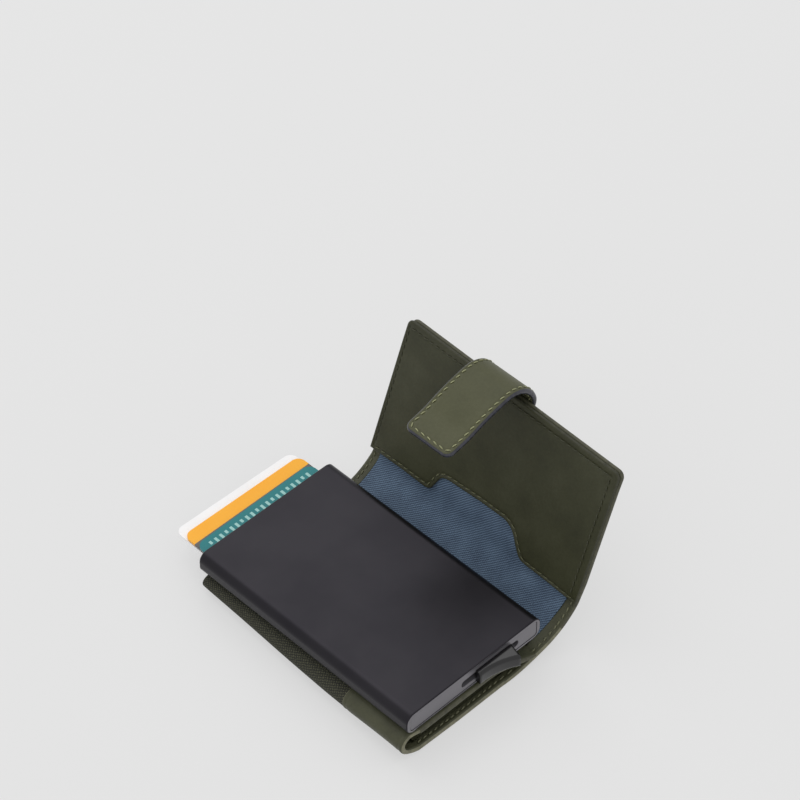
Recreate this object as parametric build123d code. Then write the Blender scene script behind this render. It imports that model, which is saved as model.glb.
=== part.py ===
from build123d import *
import math
import os

# A card case with a stepped ejector lever, carried on a leather wallet with a folding flap.
# Everything is modelled square to the case, its origin at the middle of the case's underside:
# X across the case towards the spine, Y the way the cards come out, Z up from the underside.
# At the end the whole is stood on the table, tipped nose down as it rests on its pocket.

# Payment cards
card_length = 85.6
card_width = 53.98
card_thickness = 0.76
card_corner = 3.18
card_spacing = 0.51
card_recess = 1.5
card_side_room = 2.81
white_reach = 17.6
orange_reach = 13.3
teal_reach = 6.5
white_across = -0.3
# Name, reach beyond the mouth, place across and turn in degrees, from the lowest card up
cards_shown = [
    ("card_white", white_reach, white_across, -1.2),
    ("card_orange", orange_reach, 0, -0.7),
    ("card_teal", teal_reach, 0, 0.3),
]

# Case tube, built round the cards with room for the mechanism behind them
mechanism_depth = 13.5
case_height = 9.2
case_side_round = 3.5
case_wall = 1.1
case_side_wall = 1.7
case_bore_round = 1.2
case_rim_chamfer = 0.3
case_width = card_width + 2 * (card_side_room + case_side_wall)
case_length = card_length + card_recess + mechanism_depth

# End plate and its slot
plate_thickness = 2.0
plate_gap = 0.12
plate_set_in = 0.15
slot_length = 27.0
slot_height = 3.0
slot_from_pin = 11.1
slot_rise = 4.3

# Trigger, drawn where the photograph shows it
trigger_width = 16.7
trigger_from_pin = 9.85
trigger_low_reach = 2.6
trigger_high_reach = 6.5
trigger_slant = 1.6
trigger_hollow_share = 0.075
trigger_bottom = 1.8
trigger_height = 5.0
trigger_gap = 0.25
trigger_round = 1.1
trigger_small_round = 0.5
neck_width = 10.6
neck_from_pin = 12.2
neck_gap = 0.2
runner_depth = 5.4
runner_gap = 0.2
runner_rim = 0.25
retract_travel = 9.0
eject_travel = 4.0

# Lever, its pin and the drive pin under the runner
lever_pin_in = 11.2
lever_drive_arm = 20.0
drive_pin_inset = 4.0
drive_pin_radius = 1.25
drive_slot_gap = 0.15
drive_slot_slack = 0.8
lever_eye_radius = 2.7
lever_hub_radius = 5.0
lever_plate = 0.8
lever_rail_half = 1.4
lever_heel = 3.0
lever_step_over = 0.24
lever_hole_radius = 3.6
lever_hole_share = 0.62
card_push_gap = 0.25
card_rest_gap = 0.45
lever_pin_radius = 2.0
lever_pin_gap = 0.05
lever_float = 0.12

# Chassis that carries the lever pin
chassis_floor = 0.45
chassis_gap = 0.1
chassis_reach = 34.0
chassis_bridge = 1.0
chassis_post = 1.4
chassis_foot = 0.8
chassis_corner = 3.0

# Felt strips at the cards' edges
grip_thickness = 0.9
grip_length = 46.0
grip_height = 4.2
grip_centre_in = 32.3

# Leather wallet
leather = 1.3
lining = 0.6
glue = 0.05
leather_overhang = 1.2
hem_width = 3.3
pad_thickness = 0.2
pad_side_in = 1.0
pad_inset = 4.0
tilt = 3.4
stand_height = 9.84

# Pocket under the case
pocket_side_in = 5.5
fold_near_out = 8.7
fold_far_out = 6.4
fold_near_drop = 5.8
fold_far_drop = 2.7
fold_shoulder_out_share = 0.68
fold_shoulder_drop_share = 0.22
slope_run = 21.0
join_in = 2.0
join_near_rise = 2.9
join_far_rise = 0.15
belly_near_in = 16.0
belly_far_in = 7.0
tab_length = 29.5
gusset_thickness = 0.9
gusset_tab_gap = 0.2
pocket_wall_gap = 0.3
seam_gap = 0.06
skiving = 0.08

# Spine, from the fold beside the case to the fold under the flap
spine_in = 0.5
spine_near_rise = 3.3
spine_far_rise = 0.2
spine_run = 19.3
flap_z = 2.4
flap_lean = 68.5
flap_length = 53.7
flap_board = 0.6
flap_panel = 1.0
flap_edge_in = 1.6
fold_gap = 0.3
fold_spare = 2.0
fold_past = 1.0
spine_close = 57.0
spine_open = 12.0
flap_close = 54.0
flap_open = 56.0

# Lower edge of the flap's pocket panel, measured up from the flap's lower fold, with a wide notch
panel_low = 1.7
panel_notch_rise = 9.0
panel_notch_far_in = 32.2
panel_notch_far_run = 3.6
panel_notch_near_in = 27.0
panel_notch_near_run = 7.0
panel_notch_round = 3.2

# Strap
strap_width = 20.0
strap_offset = 2.0
strap_face = 1.2
strap_back = 1.0
strap_root = 18.0
strap_past_edge = 1.2
strap_tip_round = 4.0
strap_rise_close = 29.0
strap_wrap_open = 15.0
strap_tuck_close = 100.0
arch_run = 5.2
arch_height = 8.6
crown_run = 12.6
crown_height = 11.0
straight_run = 32.6
straight_drop = 4.65
tip_run = 41.8
tip_drop = 2.4

# Closing magnets
magnet_width = 6.0
magnet_length = 14.0
magnet_end_inset = 2.0
magnet_thickness = 0.7
magnet_side_in = 2.2
magnet_round = 1.5

# Shares of the chord by which the curved stretches swell
spine_bulge_share = 0.096
belly_near_bulge_share = 0.05
belly_far_bulge_share = 0.01
fold_bulge_shares = (0.045, 0.14, 0.12, 0.06)
slope_bulge_share = 0.04
arch_bulge_share = 0.1
crown_bulge_share = 0.07
straight_bulge_share = 0.035

# Degrees that a sheet turns from one facet to the next where it also twists along its length
facet_turn = 8.0

# One overrun for every cut
overrun = 5.0

# Derived places
near_y = -case_length / 2 - leather_overhang
far_y = -near_y
mouth_y = case_length / 2
bore_width = case_width - 2 * case_side_wall
bore_height = case_height - 2 * case_wall
card_pitch = card_thickness + card_spacing
chassis_top = case_wall + chassis_floor
lever_low = chassis_top + lever_float
lever_top = lever_low + lever_plate
card_low = lever_top + lever_float
table_slope = math.tan(math.radians(tilt))
plate_outer = -case_length / 2 + plate_set_in
plate_inner = plate_outer + plate_thickness
drive_pin_y = plate_inner + drive_pin_inset
lever_pin_y = drive_pin_y + lever_drive_arm
lever_pin_offset = bore_width / 2 - lever_pin_in
slot_offset = lever_pin_offset - slot_from_pin
trigger_offset = lever_pin_offset - trigger_from_pin
neck_offset = lever_pin_offset - neck_from_pin
slide_travel = retract_travel + eject_travel
lever_swing = 2 * math.atan(slide_travel / 2 / lever_drive_arm)
lever_turn = lever_swing * retract_travel / slide_travel
drive_pin_x = lever_pin_offset + slide_travel / 2 - retract_travel
grip_centre = mouth_y - grip_centre_in
spine_x = case_width / 2 - spine_in
flap_x = spine_x + spine_run
pocket_side = pocket_side_in - case_width / 2
pocket_join = spine_x - join_in
pocket_flat_end = pocket_join - slope_run
belly_near_end = pocket_join - belly_near_in
belly_far_end = pocket_join - belly_far_in
panel_notch_far = far_y - panel_notch_far_in
panel_notch_near = near_y + panel_notch_near_in
magnet_offset = pocket_side + magnet_side_in + magnet_width / 2


def stretches(names, first, last):
    """Span of a course's nodes from the start of one stretch to the end of another"""
    return names.index(first), names.index(last) + 1


def section_plane(y):
    """Upright plane across the case, its own x along X and its own y along Z"""
    return Plane(origin=(0, y, 0), x_dir=(1, 0, 0), z_dir=(0, -1, 0))


def block(x_low, x_high, y_low, y_high, z_low, z_high):
    """Box between two corners"""
    size = (x_high - x_low, y_high - y_low, z_high - z_low)
    middle = ((x_low + x_high) / 2, (y_low + y_high) / 2, (z_low + z_high) / 2)
    return Pos(*middle) * Box(*size)


def upright(sketch, z_low, z_high):
    """A flat outline in X and Y raised from one height to another"""
    return Pos(0, 0, z_low) * extrude(sketch, z_high - z_low)


def polar(angle, length):
    """Point at a distance from zero, the angle in degrees"""
    return (length * math.cos(math.radians(angle)), length * math.sin(math.radians(angle)))


def add(*points):
    """Sum of flat points"""
    return (sum(point[0] for point in points), sum(point[1] for point in points))


def blend(first, last, share):
    """Point between two others"""
    return (first[0] + (last[0] - first[0]) * share, first[1] + (last[1] - first[1]) * share)


# Sheets of leather and cloth follow a course: the nodes of their outer surface in the upright
# plane at the near end and at the far end, and for both the bulge of each stretch to the left of
# its chord. Offsets are counted to the left of the course, which is the wallet's inner side.


def course_at(course, y):
    """Nodes and bulges of a course in the upright plane at y"""
    near, far, near_bulges, far_bulges = course
    share = (y - near_y) / (far_y - near_y)
    nodes = [blend(first, last, share) for first, last in zip(near, far)]
    return nodes, [first + (last - first) * share for first, last in zip(near_bulges, far_bulges)]


def facet_count(course, k):
    """Straight steps that a curved stretch is broken into where the two ends of a sheet differ"""
    if course[0] == course[1]:
        return 1
    bulge = max(abs(bulges[k]) for bulges in course[2:])
    return max(1, math.ceil(math.degrees(4 * math.atan(2 * bulge)) / facet_turn))


def run_directions(nodes, bulges):
    """Direction at both ends of each stretch"""
    found = []
    for start, end, bulge in zip(nodes, nodes[1:], bulges):
        chord = math.atan2(end[1] - start[1], end[0] - start[0])
        turn = 2 * math.atan(2 * bulge)
        found.append((chord + turn, chord - turn))
    return found


def moved_left(point, direction, offset):
    """Point moved to the left of a direction"""
    return (point[0] - offset * math.sin(direction), point[1] + offset * math.cos(direction))


def middle_of(start, end, bulge):
    """Middle of a stretch"""
    along = (end[0] - start[0], end[1] - start[1])
    return ((start[0] + end[0]) / 2 - along[1] * bulge, (start[1] + end[1]) / 2 + along[0] * bulge)


def offset_run(nodes, bulges, offset):
    """Nodes and middles of the course moved to its left"""
    ends = run_directions(nodes, bulges)
    arrivals = [ends[0][0]] + [end[1] for end in ends]
    leavings = [end[0] for end in ends] + [ends[-1][1]]
    corners = []
    for node, before, after in zip(nodes, arrivals, leavings):
        corners.append(moved_left(node, (before + after) / 2, offset / math.cos((after - before) / 2)))
    middles = []
    for start, end, bulge, (first, last) in zip(nodes, nodes[1:], bulges, ends):
        middles.append(moved_left(middle_of(start, end, bulge), (first + last) / 2, offset))
    return corners, middles


def band_face(course, span, y, low, high):
    """Cross-section of a sheet between two offsets, over a span of the course's nodes"""
    nodes, bulges = course_at(course, y)
    first, last = span
    edges = []
    ends = []
    for offset in (low, high):
        corners, middles = offset_run(nodes, bulges, offset)
        ends.append((corners[first], corners[last]))
        for k in range(first, last):
            start, middle, end = corners[k], middles[k], corners[k + 1]
            curve = ThreePointArc(start, middle, end) if bulges[k] else Line(start, end)
            steps = facet_count(course, k)
            facets = [curve @ (step / steps) for step in range(steps + 1)]
            edges.append(Polyline(*facets) if steps > 1 else curve)
    edges.append(Line(ends[0][0], ends[1][0]))
    edges.append(Line(ends[0][1], ends[1][1]))
    return section_plane(y) * make_face(edges)


def sheet(course, span, y_low, y_high, low, high):
    """Sheet along a span of a course, between two places along Y and two offsets"""
    if course[0] == course[1]:
        return extrude(band_face(course, span, y_high, low, high), y_high - y_low)
    ends = [band_face(course, span, y, low, high) for y in (y_low, y_high)]
    return loft(ends, ruled=True)


def straight_course(nodes, bulges):
    """Course that is the same from the near end to the far end"""
    return (nodes, nodes, bulges, bulges)


def relief_face(pivot, y, direction, reach, close, opened):
    """Waisted outline that leaves two sheets room to fold about a point between them"""
    lean = math.radians(direction)
    along = (math.cos(lean), math.sin(lean))
    across = (-along[1], along[0])
    corners = []
    for side, angle in ((0, 0), (1, close), (-1, opened)):
        wide = fold_gap / 2 + abs(side) * reach * math.tan(math.radians(angle / 2 + fold_spare))
        rise = side * reach
        for sign in (-1, 1):
            x = pivot[0] + sign * wide * along[0] + rise * across[0]
            z = pivot[1] + sign * wide * along[1] + rise * across[1]
            corners.append((x, z))
    waist_a, waist_b, in_a, in_b, out_a, out_b = corners
    return section_plane(y) * make_face(Polyline(waist_a, in_a, in_b, waist_b, out_b, out_a, close=True))


def relief(pivot_near, pivot_far, direction, reach, close, opened):
    """Room to fold along a line from the near end to the far end"""
    past = overrun / (far_y - near_y)
    pivot_first = blend(pivot_near, pivot_far, -past)
    pivot_last = blend(pivot_near, pivot_far, 1 + past)
    first = relief_face(pivot_first, near_y - overrun, direction, reach, close, opened)
    last = relief_face(pivot_last, far_y + overrun, direction, reach, close, opened)
    return loft([first, last], ruled=True)


# Case tube: a flat extrusion, rounded along both long sides, open at the mouth
def make_case_tube():
    outer = section_plane(mouth_y) * RectangleRounded(case_width, case_height, case_side_round)
    bore = section_plane(mouth_y + overrun) * RectangleRounded(bore_width, bore_height, case_bore_round)
    tube = extrude(outer, case_length)
    tube = chamfer([edge for face in (tube.faces() | Axis.Y) for edge in face.edges()], case_rim_chamfer)
    return Pos(0, 0, case_height / 2) * (tube - extrude(bore, case_length + 2 * overrun))


# End plate: closes the trigger end of the tube, with the slot that the trigger runs in
def make_end_plate():
    plate = RectangleRounded(bore_width - 2 * plate_gap, bore_height - 2 * plate_gap, case_bore_round)
    plate -= Pos(slot_offset, slot_rise - case_height / 2) * SlotOverall(slot_length, slot_height)
    return Pos(0, 0, case_height / 2) * extrude(section_plane(plate_inner) * plate, plate_thickness)


# Trigger: a wedge outside the end plate, a neck in the slot and a runner with the drive pin inside
def make_trigger():
    base_y = plate_outer - trigger_gap
    left = trigger_offset - trigger_width / 2
    right = trigger_offset + trigger_width / 2
    low_tip = (left, base_y - trigger_low_reach + trigger_gap)
    high_tip = (right - trigger_slant, base_y - trigger_high_reach + trigger_gap)
    hollow = middle_of(low_tip, high_tip, trigger_hollow_share)
    outline = make_face(
        [
            Line((left, base_y), low_tip),
            ThreePointArc(low_tip, hollow, high_tip),
            Line(high_tip, (right, base_y)),
            Line((right, base_y), (left, base_y)),
        ]
    )
    head = upright(outline, trigger_bottom, trigger_bottom + trigger_height)
    front = head.edges().filter_by(GeomType.CIRCLE).sort_by(Axis.Z)
    head = fillet(front[-1], trigger_round)
    head = fillet(head.edges().filter_by(GeomType.CIRCLE).sort_by(Axis.Z)[0], trigger_small_round)
    slot_top = slot_rise + slot_height / 2
    runner_y = plate_inner + runner_gap
    runner_end = runner_y + runner_depth
    neck_left = neck_offset - neck_width / 2
    neck = Pos(neck_offset, slot_rise) * SlotOverall(neck_width, slot_height - 2 * neck_gap)
    neck = extrude(section_plane(runner_end) * neck, runner_end - base_y)
    runner_right = drive_pin_x + 2 * drive_pin_radius
    runner_top = slot_top + runner_rim
    runner = block(neck_left, runner_right, runner_y, runner_end, lever_top + lever_float, runner_top)
    pin = Pos(drive_pin_x, drive_pin_y, lever_low) * Cylinder(
        drive_pin_radius, runner_top - lever_low, align=(Align.CENTER, Align.CENTER, Align.MIN)
    )
    return head + neck + runner + pin


def card_end_y(reach):
    """Rear edge of a card that stands out of the mouth by a reach"""
    return mouth_y + reach - card_length


# Cards: one above the other, each turned a little, with room between them
def make_card(level, reach, across, turn):
    outline = RectangleRounded(card_width, card_length, card_corner)
    card = upright(outline, 0, card_thickness)
    centre = (across, mouth_y + reach - card_length / 2, card_low + level * card_pitch)
    return Pos(*centre) * Rot(0, 0, turn) * card


def reach_at(reach, travel):
    """Reach of a card once the trigger has moved by a travel from where the cards are in"""
    return (reach + card_recess) * travel / retract_travel - card_recess


def lever_reach(reach, across, turn):
    """Longest rail along X whose tip stays behind the card's rear edge, now and at full ejection"""
    slope = math.tan(math.radians(turn))
    rail_drop = card_end_y(-card_recess) - card_rest_gap - lever_rail_half - lever_pin_y
    lengths = []
    for travel in (retract_travel, slide_travel):
        angle = lever_swing * travel / slide_travel
        edge = card_end_y(reach_at(reach, travel)) - card_push_gap - lever_rail_half
        at_pin = lever_pin_offset + rail_drop * math.sin(angle) - across
        rise = edge - lever_pin_y - rail_drop * math.cos(angle) + at_pin * slope
        lengths.append(rise / (math.sin(angle) + math.cos(angle) * slope))
    return min(lengths)


# Lever: a stepped rail behind the cards, one step for each, on a plate that turns about the pin.
# It is drawn with the cards in, its rail square to them, and then turned to push them out.
def make_lever():
    rail_y = card_end_y(-card_recess) - card_rest_gap - lever_rail_half - lever_pin_y
    heel = (-lever_heel, rail_y)
    tips = [(-lever_reach(reach, across, turn), rail_y) for _, reach, across, turn in cards_shown]
    steps = []
    for level, tip in enumerate(tips):
        top = card_low + level * card_pitch + card_thickness + lever_step_over
        rail = SlotCenterPoint(blend(heel, tip, 0.5), tip, 2 * lever_rail_half)
        steps.append(upright(rail, lever_low, top))
    drive = (slide_travel / 2, -lever_drive_arm)
    heel_end = Pos(*heel) * Circle(lever_rail_half)
    web = make_hull((Circle(lever_hub_radius) + heel_end + Pos(*tips[1]) * Circle(lever_rail_half)).edges())
    eye = Pos(*drive) * Circle(lever_eye_radius)
    arm = make_hull((Circle(lever_hub_radius - lever_rail_half) + eye).edges())
    hole = blend((0, 0), blend(heel, tips[1], 0.5), lever_hole_share)
    plate = web + arm - Pos(*hole) * Circle(lever_hole_radius)
    lever = upright(plate, lever_low, lever_top)
    for step in steps:
        lever += step
    lever -= upright(Circle(lever_pin_radius + lever_pin_gap), lever_low - overrun, lever_top + overrun)
    slot = SlotCenterToCenter(2 * drive_slot_slack, 2 * (drive_pin_radius + drive_slot_gap))
    slot_turn = math.degrees(math.atan2(drive[1], drive[0]))
    lever -= upright(Pos(*drive) * Rot(0, 0, slot_turn) * slot, lever_low - overrun, lever_top)
    return Pos(lever_pin_offset, lever_pin_y, 0) * Rot(0, 0, -math.degrees(lever_turn)) * lever


# Chassis: a thin moulded floor under the lever, two posts and the bridge that guides the runner
def make_chassis():
    half = bore_width / 2 - chassis_gap
    flat_half = half - case_bore_round
    floor_start = plate_inner + chassis_gap
    floor_end = plate_inner + chassis_reach
    bridge_start = plate_inner + runner_gap + runner_depth + runner_gap
    bridge_end = bridge_start + chassis_bridge
    bore_top = case_height - case_wall - chassis_gap
    floor = block(-flat_half, flat_half, floor_start, floor_end, case_wall, chassis_top)
    body = chamfer(floor.edges().filter_by(Axis.Z), chassis_corner)
    post_low = case_wall + case_bore_round
    post_top = bore_top - case_bore_round
    for side in (-1, 1):
        inner, outer = sorted((side * (half - chassis_post), side * half))
        body += block(inner, outer, floor_start, bridge_end, post_low, post_top)
        inner, outer = sorted((side * (flat_half - chassis_foot), side * flat_half))
        body += block(inner, outer, bridge_start, bridge_end, case_wall, post_top)
    bridge_low = lever_top + lever_float
    body += block(-flat_half, flat_half, bridge_start, bridge_end, bridge_low, bore_top)
    return body - Pos(lever_pin_offset, lever_pin_y) * upright(Circle(lever_pin_radius), 0, case_height)


# Lever pin: a short headless pin pressed into the chassis floor
def make_lever_pin():
    return Pos(lever_pin_offset, lever_pin_y) * upright(Circle(lever_pin_radius), case_wall, lever_top)


# Felt strips on the inner sides of the tube, which brake the cards
def make_card_grip(side):
    inner, outer = sorted((side * (bore_width / 2 - grip_thickness), side * bore_width / 2))
    y_low = grip_centre - grip_length / 2
    z_low = case_height / 2 - grip_height / 2
    return block(inner, outer, y_low, y_low + grip_length, z_low, z_low + grip_height)


# Places that the leather courses share
pocket_near_low = -stand_height + table_slope * near_y
pocket_far_low = -stand_height + table_slope * far_y
pocket_top = -pad_thickness
flap_low = (flap_x, flap_z)
flap_top = add(flap_low, polar(flap_lean, flap_length))
core = flap_board + lining


def wallet_nodes(start, low, belly_end, join_rise, spine_rise):
    """Outer surface of the wallet's outer leather, from the pocket's left side to the flap's free edge"""
    belly = [(start, low), (belly_end, low), (pocket_join, low + join_rise)]
    return belly + [(spine_x, low + spine_rise), flap_low, flap_top]


def wallet_course_from(start):
    """Course of the outer leather, begun at some place across"""
    near_low = pocket_near_low - skiving
    far_low = pocket_far_low - skiving
    near = wallet_nodes(start, near_low, belly_near_end, join_near_rise, spine_near_rise)
    far = wallet_nodes(start, far_low, belly_far_end, join_far_rise, spine_far_rise)
    near_bulges = (0, -belly_near_bulge_share, 0, -spine_bulge_share, 0)
    far_bulges = (0, -belly_far_bulge_share, 0, -spine_bulge_share, 0)
    return (near, far, near_bulges, far_bulges)


wallet_course = wallet_course_from(pocket_side)
wallet_stretches = ("belly", "belly_rise", "underside", "spine", "flap")
pocket_span = stretches(wallet_stretches, "belly", "underside")
lining_span = stretches(wallet_stretches, "belly", "belly_rise")
spine_span = stretches(wallet_stretches, "spine", "spine")
flap_span = stretches(wallet_stretches, "flap", "flap")


def carrier_nodes(join):
    """Upper face of the leather that carries the case, from its left edge to where it joins the lower one"""
    end = add(join, (0, leather + lining + leather + 2 * glue))
    knee = (pocket_flat_end, pocket_top)
    return [(pocket_side, pocket_top), knee, blend(knee, end, 0.5), end]


carrier_bulges = (0, slope_bulge_share, -slope_bulge_share)
carrier_ends = [carrier_nodes(nodes[lining_span[1]]) for nodes in wallet_course[:2]]
carrier_course = (*carrier_ends, carrier_bulges, carrier_bulges)
carrier_stretches = ("flat", "upper_slope", "lower_slope")
carrier_span = stretches(carrier_stretches, "flat", "lower_slope")
lower_slope_span = stretches(carrier_stretches, "lower_slope", "lower_slope")


def fold_nodes(low, out, drop):
    """Outer surface of the fold on the pocket's left side, from the upper sheet down to the lower one"""
    top = (pocket_side - seam_gap, pocket_top)
    foot = (pocket_side - seam_gap, low)
    edge = (pocket_side - out, pocket_top - drop)
    upper = add(top, (-out * fold_shoulder_out_share, -drop * fold_shoulder_drop_share))
    rest = edge[1] - low
    lower = add(foot, (-out * fold_shoulder_out_share, rest * fold_shoulder_drop_share))
    return [top, upper, edge, lower, foot]


fold_bulges = [-share for share in fold_bulge_shares]
fold_near = fold_nodes(pocket_near_low, fold_near_out, fold_near_drop)
fold_far = fold_nodes(pocket_far_low, fold_far_out, fold_far_drop)
fold_course = (fold_near, fold_far, fold_bulges, fold_bulges)
fold_span = (0, len(fold_bulges))

strap_start = moved_left(flap_top, math.radians(flap_lean), -strap_face - strap_back)
strap_near = strap_offset - strap_width / 2
strap_far = strap_offset + strap_width / 2
strap_fold = add(strap_start, polar(flap_lean, strap_past_edge))
strap_nodes = [
    add(strap_start, polar(flap_lean, -strap_root)),
    strap_fold,
    add(strap_fold, (-arch_run, arch_height)),
    add(strap_fold, (-crown_run, crown_height)),
    add(strap_fold, (-straight_run, straight_drop)),
    add(strap_fold, (-tip_run, tip_drop)),
]
strap_bulges = (0, -arch_bulge_share, -crown_bulge_share, -straight_bulge_share, 0)
strap_stretches = ("root", "rise", "crown", "side", "tip")
strap_folds = [strap_stretches.index(name) for name in ("rise", "crown", "tip")]
strap_course = straight_course(strap_nodes, strap_bulges)


# Fold lines: each runs through the middle of the sheets that meet there
def fold_pivot(node, direction, depth):
    return moved_left(node, math.radians(direction), depth)


wallet_middle = (leather + lining) / 2
wallet_reach = leather + core - wallet_middle + fold_past
strap_middle = (strap_face + strap_back) / 2
strap_reach = strap_middle + fold_past


def turn_at(nodes, bulges, k):
    """Direction of a course at one of its nodes, between the two stretches that meet there"""
    ends = run_directions(nodes, bulges)
    return math.degrees(ends[k - 1][1] + ends[k][0]) / 2


spine_near_turn = turn_at(wallet_course[0], wallet_course[2], spine_span[0])
spine_far_turn = turn_at(wallet_course[1], wallet_course[3], spine_span[0])
flap_near_turn = turn_at(wallet_course[0], wallet_course[2], flap_span[0])
flap_far_turn = turn_at(wallet_course[1], wallet_course[3], flap_span[0])
spine_turn = (spine_near_turn + spine_far_turn) / 2
flap_turn = (flap_near_turn + flap_far_turn) / 2
rise_turn, wrap_turn, tuck_turn = [turn_at(strap_nodes, strap_bulges, k) for k in strap_folds]
spine_pivot_near = fold_pivot(wallet_course[0][spine_span[0]], spine_near_turn, wallet_middle)
spine_pivot_far = fold_pivot(wallet_course[1][spine_span[0]], spine_far_turn, wallet_middle)
flap_pivot = fold_pivot(flap_low, flap_turn, wallet_middle)
rise_fold, wrap_fold, tuck_fold = [strap_nodes[k] for k in strap_folds]
rise_pivot = fold_pivot(rise_fold, rise_turn, strap_middle)
wrap_pivot = fold_pivot(wrap_fold, wrap_turn, strap_middle)
tuck_pivot = fold_pivot(tuck_fold, tuck_turn, strap_middle)

spine_relief = relief(spine_pivot_near, spine_pivot_far, spine_turn, wallet_reach, spine_close, spine_open)
flap_relief = relief(flap_pivot, flap_pivot, flap_turn, wallet_reach, flap_close, flap_open)
rise_relief = relief(rise_pivot, rise_pivot, rise_turn, strap_reach, strap_rise_close, strap_rise_close)
wrap_relief = relief(wrap_pivot, wrap_pivot, wrap_turn, strap_reach, strap_wrap_open, strap_wrap_open)
tuck_relief = relief(tuck_pivot, tuck_pivot, tuck_turn, strap_reach, strap_tuck_close, 0)


# On the table the part stands nose down by the tilt; before that the table is tilted under the case
stand_rise = stand_height * math.cos(math.radians(tilt))
table = Rot(tilt, 0, 0) * Pos(0, 0, -stand_rise)


# Magnet in the lower sheet of the pocket, which holds the strap's tip
def make_base_magnet():
    outline = Pos(magnet_offset, strap_offset) * RectangleRounded(magnet_width, magnet_length, magnet_round)
    return table * upright(outline, leather - skiving - magnet_thickness, leather - skiving)


# Lower sheet of the pocket, its underside skived flat
def make_pocket_leather(magnet):
    lower = sheet(wallet_course, pocket_span, near_y, far_y, 0, leather)
    below = block(pocket_side - overrun, spine_x + overrun, near_y - overrun, far_y + overrun, -overrun, 0)
    return lower - table * below - spine_relief - magnet


# Cloth on the inside of the lower sheet, as far as the seam with the carrier leather
def make_pocket_lining():
    course = wallet_course_from(pocket_side + pocket_wall_gap)
    return sheet(course, lining_span, near_y + hem_width, far_y - hem_width, leather + glue, leather + lining)


# Upper sheet of the pocket, which carries the case
def make_carrier_leather():
    return sheet(carrier_course, carrier_span, near_y, far_y, -leather, 0)


# Cloth beside the case, on the lower half of the carrier leather's slope
def make_base_lining():
    return sheet(carrier_course, lower_slope_span, near_y + hem_width, far_y - hem_width, glue, lining)


# Woven gusset and leather tab that close the left side of the pocket
def make_gusset():
    return sheet(fold_course, fold_span, near_y + tab_length + gusset_tab_gap, far_y, 0, gusset_thickness)


def make_gusset_tab():
    return sheet(fold_course, fold_span, near_y, near_y + tab_length, 0, leather)


# Outer leather of the spine, with its turned hems along both ends
def make_spine_leather():
    spine = sheet(wallet_course, spine_span, near_y, far_y, 0, leather)
    spine += sheet(wallet_course, spine_span, near_y, near_y + hem_width, 0, leather + lining)
    spine += sheet(wallet_course, spine_span, far_y - hem_width, far_y, 0, leather + lining)
    return spine - spine_relief - flap_relief


def make_spine_lining():
    inset = hem_width + glue
    lined = sheet(wallet_course, spine_span, near_y + inset, far_y - inset, leather + glue, leather + lining)
    return lined - spine_relief - flap_relief


# Outer leather of the flap, with a hem frame round the board and the cloth
def make_flap_leather():
    flap = sheet(wallet_course, flap_span, near_y, far_y, 0, leather)
    flap += sheet(wallet_course, flap_span, near_y, near_y + hem_width, 0, leather + core)
    flap += sheet(wallet_course, flap_span, far_y - hem_width, far_y, 0, leather + core)
    edge = straight_course([blend(flap_low, flap_top, 1 - hem_width / flap_length), flap_top], (0,))
    flap += sheet(edge, (0, 1), near_y, far_y, 0, leather + core)
    return flap - flap_relief


def flap_inner_layer(low, high):
    """Sheet of the flap inside its hem frame"""
    inset = hem_width + glue
    top = blend(flap_low, flap_top, 1 - inset / flap_length)
    start = blend(flap_low, flap_top, flap_edge_in / flap_length)
    course = straight_course([start, top], (0,))
    return sheet(course, (0, 1), near_y + inset, far_y - inset, low, high) - flap_relief


def make_flap_board():
    return flap_inner_layer(leather, leather + flap_board)


def make_flap_lining():
    return flap_inner_layer(leather + flap_board, leather + core)


# Pocket panel on the inside of the flap, sewn down on three sides and open at the notched one
def make_flap_panel():
    lean = math.radians(flap_lean)
    out = (-math.sin(lean), math.cos(lean))
    plane = Plane(
        origin=(flap_x + out[0] * (leather + core), 0, flap_z + out[1] * (leather + core)),
        x_dir=(0, 1, 0),
        z_dir=(out[0], 0, out[1]),
    )
    notch_top = panel_low + panel_notch_rise
    notch = [
        (panel_notch_far, -panel_low),
        (panel_notch_far - panel_notch_far_run, -notch_top),
        (panel_notch_near + panel_notch_near_run, -notch_top),
        (panel_notch_near, -panel_low),
    ]
    far_side = [(far_y, -flap_length), (far_y, -panel_low)]
    near_side = [(near_y, -panel_low), (near_y, -flap_length)]
    outline = make_face(Polyline(*far_side, *notch, *near_side, close=True))
    bends = [outline.vertices().sort_by_distance(bend)[0] for bend in notch]
    return extrude(plane * fillet(bends, panel_notch_round), flap_panel)


# Strap: a root on the outside of the flap and three stretches that wrap the closed case
def strap_layer(first, last, low, high):
    return sheet(strap_course, stretches(strap_stretches, first, last), strap_near, strap_far, low, high)


def make_strap_layers():
    face = (0, strap_face)
    back = (strap_face, strap_face + strap_back)
    pieces = {}
    for layer, (low, high) in (("face", face), ("backing", back)):
        pieces["strap_root_" + layer] = strap_layer("root", "root", low, high) - rise_relief
        pieces["strap_rise_" + layer] = strap_layer("rise", "rise", low, high) - rise_relief - wrap_relief
        pieces["strap_side_" + layer] = strap_layer("crown", "side", low, high) - wrap_relief - tuck_relief
        tip = strap_layer("tip", "tip", low, high) - tuck_relief
        corners = tip.faces().sort_by(Axis.X)[0].edges().filter_by(Axis.Y, reverse=True)
        pieces["strap_tip_" + layer] = fillet(corners, strap_tip_round)
    return pieces


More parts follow.
